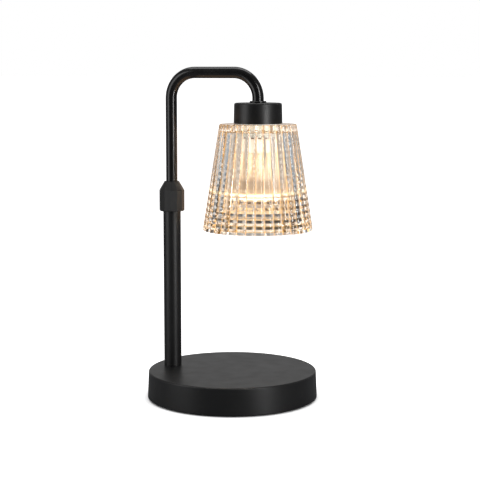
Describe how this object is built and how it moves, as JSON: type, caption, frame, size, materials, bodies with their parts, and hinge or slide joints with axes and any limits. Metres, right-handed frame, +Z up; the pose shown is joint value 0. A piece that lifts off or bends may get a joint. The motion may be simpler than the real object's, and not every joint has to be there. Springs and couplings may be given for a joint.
{
  "type": "candle warmer lamp",
  "caption": "Candle warmer lamp: weighted round base, telescopic pole with a clamping nut, bent swivel arm and a reeded conical glass shade over a twist-lock reflector bulb.",
  "frame": {"origin": "centre of the base on the surface that the lamp stands on", "axes": "+Z up; +X from the pole towards the shade, so the cord inlet is at -X; +Y completes a right-handed set"},
  "size_m": [0.1519, 0.15, 0.2906],
  "materials": {
    "black_paint": "satin powder coat",
    "plate_paint": "plain black coat",
    "iron": "as cast",
    "zinc_steel": "bright zinc",
    "foot_foam": "closed-cell foam",
    "black_rubber": "soft matte",
    "silicone": "translucent white",
    "terminal_nylon": "moulded",
    "flex_jacket": "smooth jacket",
    "brass": "bright",
    "natural_nylon": "moulded",
    "black_nylon": "fine moulded texture",
    "holder_resin": "moulded, ivory",
    "ceramic": "unglazed",
    "shade_glass": "pressed clear glass",
    "bulb_mirror": "coated reflector",
    "bulb_glass": "clear",
    "quartz": "clear quartz",
    "pin_metal": "nickel plated",
    "tungsten": "coiled wire"
  },
  "bodies": {
    "base": {"base_shell": "black_paint", "ballast": "iron", "bottom_plate": "plate_paint", "bottom_screws": "zinc_steel", "foot_pad": "foot_foam", "cord_grommet": "black_rubber", "terminal_block": "terminal_nylon", "terminal_screws": "zinc_steel", "flex_in_base": "flex_jacket", "lower_tube": "black_paint", "pole_stud": "zinc_steel", "foot_washer": "zinc_steel", "foot_nut": "zinc_steel", "flex_in_pole": "flex_jacket", "thread_sleeve": "brass", "clamp_ring": "natural_nylon"},
    "lock_nut": {"lock_nut": "black_nylon"},
    "slider": {"glide_bush": "natural_nylon"},
    "arm": {"arm_tube": "black_paint", "arm_collar": "black_paint", "flex_in_arm": "flex_jacket", "socket_cap": "black_paint", "cap_washer": "zinc_steel", "cap_nut": "zinc_steel", "holder_shell": "holder_resin", "holder_insert": "ceramic", "holder_contacts": "brass", "insert_screws": "zinc_steel", "glass_shade": "shade_glass", "shade_gasket": "silicone", "ring_gasket": "silicone", "shade_ring": "holder_resin"},
    "bulb": {"bulb_neck": "ceramic", "bulb_pins": "pin_metal", "bulb_reflector": "bulb_mirror", "bulb_lens": "bulb_glass", "bulb_capsule": "quartz", "bulb_filament": "tungsten"}
  },
  "joints": [
    {"name": "arm_height", "type": "slide", "parent": "base", "child": "slider", "axis": [0, 0, 1], "range_m": [-0.054, 0.05], "deforming": ["flex_in_pole"]},
    {"name": "arm_swivel", "type": "hinge", "parent": "slider", "child": "arm", "pos_m": [-0.0565, 0, 0.1], "axis": [0, 0, 1], "range_deg": [-180, 180]},
    {"name": "lock_nut_turn", "type": "hinge", "parent": "base", "child": "lock_nut", "pos_m": [-0.0565, 0, 0.173], "axis": [0, 0, 1], "range_deg": [0, 270]},
    {"name": "bulb_twist", "type": "hinge", "parent": "arm", "child": "bulb", "pos_m": [0.0235, 0, 0.2305], "axis": [0, 0, 1], "range_deg": [-25, 0]}
  ]
}
